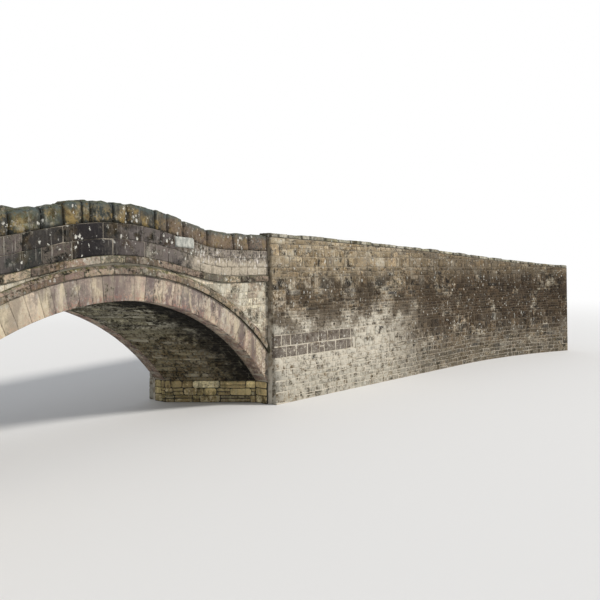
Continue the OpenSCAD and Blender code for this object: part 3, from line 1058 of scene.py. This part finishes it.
def wall_marks(look, colour, u, v, blot, mottle):
    """Ochre at the top, limewash low at the left and brown blocks in the band."""
    low = (1 - u.step(4.0, 9.0)) * (1 - v.step(1.9, 2.4))
    brown = v.step(BAND[0], BAND[0] + 0.02) * (1 - v.step(BAND[1], BAND[1] + 0.02))
    brown = brown * (1 - u.step(BAND_END, BAND_END + 0.1))
    colour = look.coats(
        colour,
        (v.step(2.6, 3.5) * blot.step(0.38, 0.58) * 0.4, (0.42, 0.32, 0.18)),
        (low * (blot + (mottle - 0.5) * 0.4).step(0.34, 0.58) * 0.88, (0.62, 0.58, 0.49)),
        (brown * mottle.step(0.36, 0.5) * 0.8, (0.085, 0.062, 0.052)),
    )
    return wall_stain(look, colour, u, v)


def pointing_marks(look, colour, x, z, blot, fine):
    """Fresher and paler low down, with the stones' stains and painted shade."""
    colour = look.mix((1 - z.step(2.0, 2.7)) * blot.step(0.36, 0.52), colour, (0.58, 0.53, 0.44))
    return wall_stain(look, colour, x - HALF, z)


wall_stone = weathered(
    "wall_rubble",
    [(0.13, 0.11, 0.09), (0.27, 0.22, 0.15), (0.44, 0.37, 0.26), (0.19, 0.155, 0.12), (0.36, 0.26, 0.15),
     (0.52, 0.47, 0.38), (0.08, 0.073, 0.066)],
    contrast=1.7, warm=0.3, pale=(0.6, 0.02), soot=(0.65, 0.02), streak=0.4, moss=0.15, lichen=0.7,
    damp=0.3, edges=(0.35, (0.42, 0.36, 0.27)), local=wall_marks,
)
wall_mortar = mortar("wall_mortar", (0.32, 0.27, 0.2), share=0.55, local=pointing_marks)


def road(d):
    """Height of the road beside a point d along a wall."""
    return ROAD - (WING_TOP - wall_top(d))


def quoin_rows(rng):
    """Rows of the large squared stones at a wall's ends, long and short by turns, as foot,
    head and length."""
    heights = [0.0, 0.29, 0.57, 0.84, BAND[0], sum(BAND) / 2, BAND[1]]
    while heights[-1] < WING_TOP:
        heights.append(heights[-1] + rng.uniform(0.24, 0.32))
    pairs = enumerate(pairwise(heights))
    return [(foot, head, (LONG, SHORT)[i % 2] * rng.uniform(0.9, 1.1)) for i, (foot, head) in pairs]


def quoins(rows, at, inward, top):
    """Outlines of the squared stones from one end of a wall inward."""
    out = []
    for foot, head, reach in rows:
        head = min(head, top)
        if head - foot > 0.05:
            a, b = sorted((at, at + inward * reach))
            out.append(square(a, b - 0.003, foot + 0.004, head - 0.004))
    return out


def split(rng, rows, low, high, counts):
    """Beds of the rubble from low to high. Each row of quoins meets one or more courses."""
    beds = [low]
    for foot, head, _ in rows:
        if low - 0.001 < foot < high - 0.001:
            count = rng.choice(counts)
            cuts = [i + rng.uniform(-0.2, 0.2) for i in range(1, count)] + [count]
            beds += [foot + (head - foot) * cut / count for cut in cuts]
    return beds


def under_cover(u):
    """Height of the flat coping's underside."""
    return wall_top(u) - COVER - 0.004


def zone(rng, rows, length, heights, stops, counts, block, joint, wave):
    """Rubble between two heights. Its courses end at stops, or where None at the quoins."""
    low, high = heights
    start, stop = stops

    def ends(foot, head):
        reach = next(r for _, top, r in rows if foot < top - 0.001)
        return ((start or reach, stop or length - reach),) * 2

    return rubble(
        rng, start or 0.0, stop or length, lambda u: low, lambda u: min(high, under_cover(u)),
        None, block, joint, wave, ends, split(rng, rows, low, high, counts),
    )


def wall_groups(side, left):
    """All the stones of one approach wall, as groups for masonry."""
    length = LEFT if left else RIGHT_ALL
    rng = Random(81 + left)
    rows = quoin_rows(rng)
    corner = quoins(rows, 0.0, 1, wall_top(0) - COVER - 0.01)
    corner += quoins(rows, length + 0.005, -1, wall_top(length) - COVER - 0.01)
    wall = (rng, rows, length)
    common = ((1, 2, 2, 2, 3), (0.13, 0.5), 0.012, 0.026)
    face = zone(*wall, (0.0, BAND[0]), (None, None), *common)
    face += zone(*wall, BAND, (BAND_END, None), *common)
    face += zone(*wall, (BAND[1], WING_TOP), (None, None), *common)
    band = zone(*wall, BAND, (None, BAND_END - 0.015), (1,), (0.3, 0.5), 0.018, 0.006)
    inside = rubble(rng, 0.05, length, lambda u: road(u) - 0.05, under_cover)
    small = dict(proud=0.007, edge=0.011, swell=0.007, rough=0.011)
    squared = dict(proud=0.009, edge=0.012, swell=0.006, rough=0.01, soft=False)
    large = dict(proud=0.01, sunk=0.3, edge=0.014, swell=0.006, rough=0.009, soft=False)
    outer, inner = wall_place(side, left), wall_place(side, left, True)
    return [(face, outer, small), (band, outer, squared), (corner, outer, large), (inside, inner, small)]


WALLS = [(side, where, hand) for side, where in SIDES for hand in ("right", "left")]
for side, where, hand in WALLS:
    dress(f"approach_wall_{where}_{hand}", wall_mortar)
    groups = wall_groups(side, hand == "left")
    masonry(f"wall_stones_{where}_{hand}", "wall_rubble", wall_stone, groups)
for _, where in SIDES:
    dress("curved_wall_" + where, wall_mortar)


# Flat copings
# Rough flat stones of many lengths lie along the approach walls and stand out a little
# on both sides. Lichen and moss cover their tops.
flat_stone = weathered(
    "flat_coping",
    [(0.3, 0.27, 0.17), (0.2, 0.2, 0.15), (0.44, 0.42, 0.33), (0.14, 0.13, 0.1)],
    contrast=1.2, warm=0.2, pale=(0.75, 0.08), soot=(0.5, 0.0), moss=0.5, lichen=0.9, relief=1.2,
    edges=(0.5, (0.05, 0.048, 0.035)),
)


def coping_place(side, left):
    def place(u, y, v):
        return beyond(side, left, HALF + 0.002, u, y, wall_top(min(u, RIGHT_ALL)) + v)

    return place


for side, where, hand in WALLS:
    left = hand == "left"
    length = (LEFT if left else RIGHT_ALL) + 0.028
    rng = Random(91 + left)
    place = coping_place(side, left)
    parts = [bed(place, (0.02, length - 0.03), (-0.07, 0.3), (-COVER, -0.05), 80)]
    joints = spaced(rng, 0.0, length, (0.25, 0.62))
    for a, b in pairwise(joints):
        ys = (-0.118 + rng.uniform(0, 0.03), 0.338 - rng.uniform(0, 0.03))
        vs = (-COVER + 0.002, -0.002 - rng.uniform(0.0, 0.032))
        parts.append(boulder(rng, place, (a + 0.003, b - 0.003), ys, vs, 0.08, 0.013))
    cap = gathered(f"flat_stones_{where}_{hand}", "flat_coping", parts, flat_stone, joint_dark)
    names = [f"approach_coping_{where}_{hand}"]
    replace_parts(cap, *(names if left else names + ["curved_coping_" + where]))


# Road
# Worn setts pave the way over the arch between the parapets, and beaten gravel the
# approaches. Rubble closes the ends of the fill between the approach walls.
sett_stone = weathered(
    "road_setts",
    [(0.22, 0.2, 0.17), (0.28, 0.25, 0.2), (0.17, 0.165, 0.15), (0.25, 0.21, 0.16)],
    contrast=0.7, soot=(0.3, 0.0), moss=0.15, relief=0.8,
)
gravel = Finish("road_gravel")
cells = {"Vector": gravel.here(), "Scale": 42.0}
pebbles = gravel.node("TexVoronoi", {"feature": "F1"}, cells)
earth, dust = gravel.cloud(0.5, 6, rough=0.75), gravel.cloud(0.015)
tone = gravel.mix((earth + (dust - 0.5) * 0.5).step(0.36, 0.66), (0.19, 0.165, 0.125), (0.28, 0.25, 0.195))
tone = gravel.mix(pebbles.step(0.15, 0.5) * 0.5, (0.36, 0.33, 0.28), tone)
relief = (1 - pebbles) * 0.7 + dust * 0.4
gravel.set(Base_Color=tone, Roughness=0.95, Normal=gravel.bump(relief, 0.7, 0.02))
for part in ("crown", "right", "left"):
    dress("road_fill_" + part, gravel.material)


def sett_place(u, out, v):
    """u across the road, v along it."""
    return near(v + SHEAR * (u - WALL_T), u, deck(v) - out)


PAVED = 5.33  # half of the length that is paved
setts = rubble(
    Random(101), WALL_T + 0.022, WIDTH - WALL_T - 0.022, lambda u: -PAVED, lambda u: PAVED,
    (0.1, 0.14), (0.12, 0.24), 0.012, 0.004,
)
style = dict(edge=0.014, rough=0.005)
masonry("road_setts", "road_fill", sett_stone, [(setts, sett_place, style)])

end_stone = weathered(
    "end_rubble",
    [(0.2, 0.16, 0.12), (0.32, 0.26, 0.18), (0.26, 0.22, 0.17), (0.4, 0.34, 0.25), (0.15, 0.13, 0.11)],
    contrast=1.4, warm=0.25, pale=(0.4, 0.0), soot=(0.6, 0.02), streak=0.3, moss=0.2, damp=0.3,
)


def end_wall(left):
    """The rubble across the end of one approach, as a group for masonry."""
    x, y, _ = along(LEFT if left else RIGHT_ALL, BACK, 0.0, left)
    start = Vector((x, y, 0))
    span = Vector((x + SKEW, WIDTH - y, 0)) - start
    way = span / span.length
    outward = Vector((way.y, -way.x, 0)) * (-1 if left else 1)

    def place(u, out, v):
        return near(*(start + way * u - outward * out + Vector((0, 0, v))))

    def under_road(u):
        return ROAD - fall(abs(start.x + way.x * u) - HALF) - 0.012

    rng = Random(111 + left)
    stones = rubble(rng, 0.01, span.length - 0.01, lambda u: 0.0, under_road)
    return stones, place, dict(proud=0.003, edge=0.01, swell=0.003, rough=0.004)


for hand in ("left", "right"):
    masonry("end_wall_" + hand, "wall_rubble", end_stone, [end_wall(hand == "left")])
